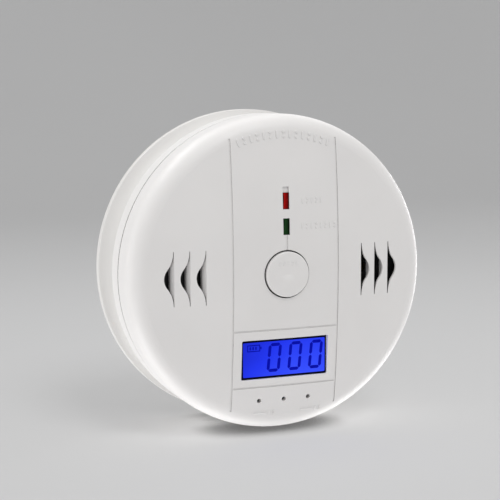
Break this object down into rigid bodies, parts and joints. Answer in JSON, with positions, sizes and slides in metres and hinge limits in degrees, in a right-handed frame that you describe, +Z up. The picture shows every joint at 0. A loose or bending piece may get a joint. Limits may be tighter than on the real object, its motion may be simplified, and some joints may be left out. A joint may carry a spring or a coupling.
{
  "type": "carbon monoxide detector",
  "caption": "Round wall-mounted carbon monoxide detector with a domed white housing, blue digital display, test button, indicator lamps and bell-shaped sound slots.",
  "frame": {"origin": "centre of the wall plate's back face, on the wall", "axes": "+Y into the wall, the face looks towards -Y; +Z up the wall; +X to the right as seen from the front"},
  "size_m": [0.1022, 0.0387, 0.1022],
  "materials": {
    "white_housing": "satin moulded ABS",
    "red_lens": "dark red translucent epoxy",
    "green_lens": "dark green translucent epoxy",
    "blue_display": "blue backlit liquid crystal glass",
    "light_guide": "polished clear acrylic",
    "pale_plastic": "matte moulded",
    "black_plastic": "matte moulded",
    "tinned_metal": "tinned",
    "steel": "nickel plated",
    "brass": "rolled",
    "ceramic_disc": "silvered",
    "board_green": "solder resist over glass fibre",
    "can_aluminium": "sleeved can",
    "coil_wrap": "shrink sleeve over a ferrite bobbin",
    "cell_jacket": "printed steel can",
    "filter_felt": "charcoal felt"
  },
  "bodies": {
    "wall_plate": {"mounting_plate": "white_housing"},
    "head": {"front_cover": "white_housing", "rear_cover": "white_housing", "red_alarm_led": "red_lens", "green_power_led": "green_lens", "led_legs": "tinned_metal", "led_spacers": "black_plastic", "lcd_glass": "blue_display", "lcd_backlight": "light_guide", "lcd_holder": "pale_plastic", "lcd_pins": "tinned_metal", "co_sensor_can": "steel", "co_sensor_cap": "black_plastic", "co_sensor_filter": "filter_felt", "co_sensor_pins": "tinned_metal", "sounder_chamber": "black_plastic", "piezo_disc": "brass", "piezo_ceramic": "ceramic_disc", "sounder_pins": "tinned_metal", "circuit_board": "board_green", "microcontroller": "black_plastic", "amplifier_chip": "black_plastic", "reservoir_capacitor": "can_aluminium", "sounder_coil": "coil_wrap", "chip_resistors": "black_plastic", "battery_left": "cell_jacket", "battery_middle": "cell_jacket", "battery_right": "cell_jacket", "battery_springs": "steel", "battery_contacts": "steel", "case_screws": "steel", "board_screws": "steel", "tact_switch_body": "black_plastic"},
    "button": {"test_button": "white_housing"},
    "switch_plunger": {"tact_switch_plunger": "pale_plastic"}
  },
  "joints": [
    {"name": "head_twist", "type": "hinge", "parent": "wall_plate", "child": "head", "pos_m": [0, 0, 0], "axis": [0, -1, 0], "range_deg": [0, 15]},
    {"name": "test_button_press", "type": "slide", "parent": "head", "child": "button", "axis": [0, 1, 0], "range_m": [0, 0.00035], "stiffness_N_per_m": 4000, "springref_m": -0.0002},
    {"name": "switch_plunger_press", "type": "slide", "parent": "head", "child": "switch_plunger", "axis": [0, 1, 0], "range_m": [0, 0.00035]}
  ],
  "couplings": [
    {"joint": "switch_plunger_press", "follows": "test_button_press", "ratio": 1}
  ]
}
